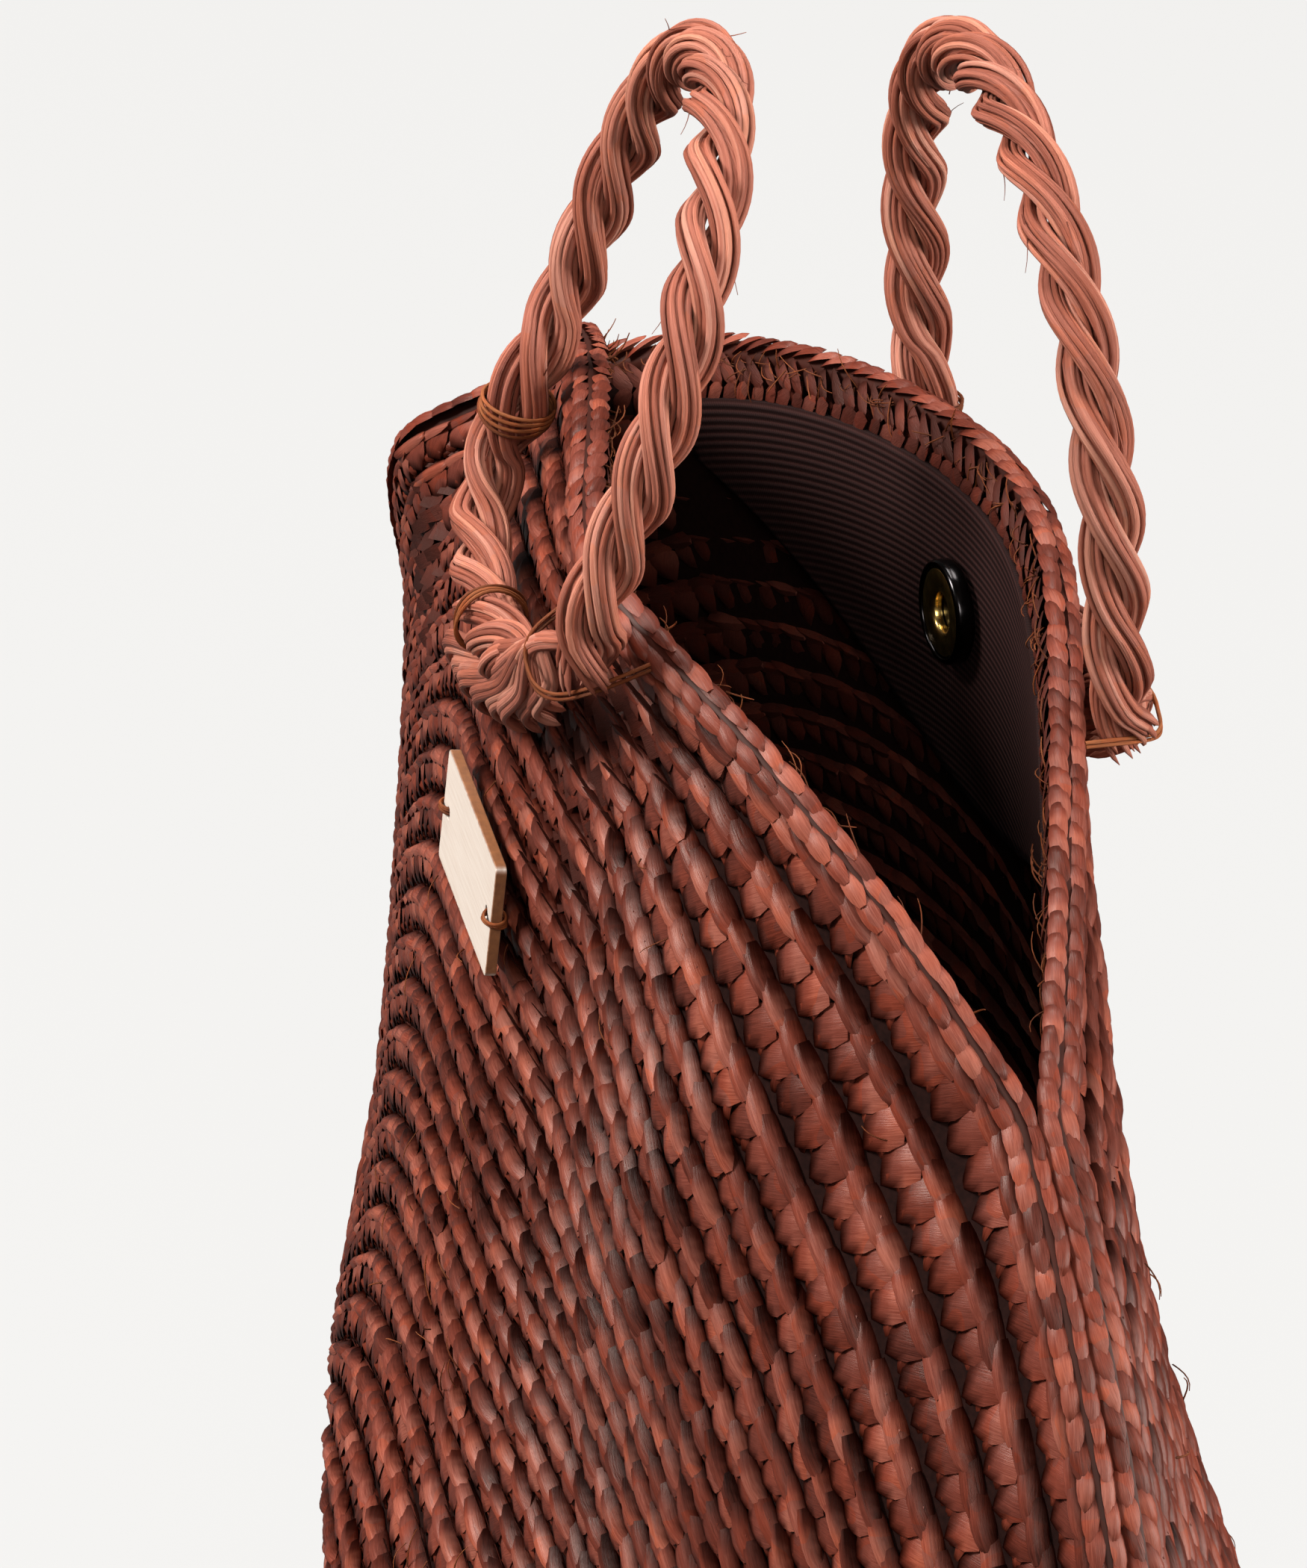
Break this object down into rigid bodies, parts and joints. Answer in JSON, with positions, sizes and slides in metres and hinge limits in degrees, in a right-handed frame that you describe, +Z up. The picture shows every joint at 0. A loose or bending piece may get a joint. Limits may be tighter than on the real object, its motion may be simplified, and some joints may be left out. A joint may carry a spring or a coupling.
{
  "type": "straw hatbox bag",
  "caption": "Round bag of two domed coiled straw braid discs sewn rim to rim, open across the top, with standing twisted rope handles, a cloth facing, a magnetic snap and a bare wooden tag.",
  "frame": {"origin": "middle of the flat base, on the floor", "axes": "+Z up, -Y to the front disc with the tag, +X along the mouth towards its near end"},
  "size_m": [0.4032, 0.1348, 0.4472],
  "materials": {
    "straw": "flat plaited straw, satin",
    "rope": "twisted dyed fibre rope",
    "thread": "waxed thread",
    "cloth": "dark ribbed cloth",
    "wood": "bare pale wood with burnt edges",
    "brass": "polished",
    "dark_metal": "black nickel"
  },
  "bodies": {
    "bag": {"front_panel": "straw", "back_panel": "straw", "seam_cord": "straw", "front_rim_braid": "straw", "back_rim_braid": "straw", "front_facing_cloth": "cloth", "back_facing_cloth": "cloth", "front_snap_washer": "dark_metal", "front_snap_plate": "dark_metal", "front_snap_post": "brass", "back_snap_washer": "dark_metal", "back_snap_case": "dark_metal", "back_snap_magnet": "brass", "front_handle_near_neck": "rope", "front_handle_far_neck": "rope", "front_handle_bight": "rope", "front_handle_far_tie": "thread", "front_handle_low_tie": "thread", "front_handle_near_tie": "thread", "back_handle_near_neck": "rope", "back_handle_far_neck": "rope", "back_handle_bight": "rope", "back_handle_far_tie": "thread", "back_handle_low_tie": "thread", "back_handle_near_tie": "thread", "tag": "wood", "tag_far_thread": "thread", "tag_near_thread": "thread"},
    "front_handle": {"front_handle_ply_1": "rope", "front_handle_ply_2": "rope", "front_handle_ply_3": "rope"},
    "back_handle": {"back_handle_ply_1": "rope", "back_handle_ply_2": "rope", "back_handle_ply_3": "rope"}
  },
  "joints": [
    {"name": "front_handle_tilt", "type": "hinge", "parent": "bag", "child": "front_handle", "pos_m": [0.00805, -0.03649, 0.37957], "axis": [0.9703, -0.239, -0.0382], "range_deg": [-7, 80], "stiffness_Nm_per_rad": 0.15, "deforming": ["front_handle_near_neck", "front_handle_far_neck"]},
    {"name": "back_handle_tilt", "type": "hinge", "parent": "bag", "child": "back_handle", "pos_m": [-0.00218, 0.03865, 0.35436], "axis": [-0.9981, 0.0603, -0.0125], "range_deg": [-7, 80], "stiffness_Nm_per_rad": 0.15, "deforming": ["back_handle_near_neck", "back_handle_far_neck"]}
  ]
}
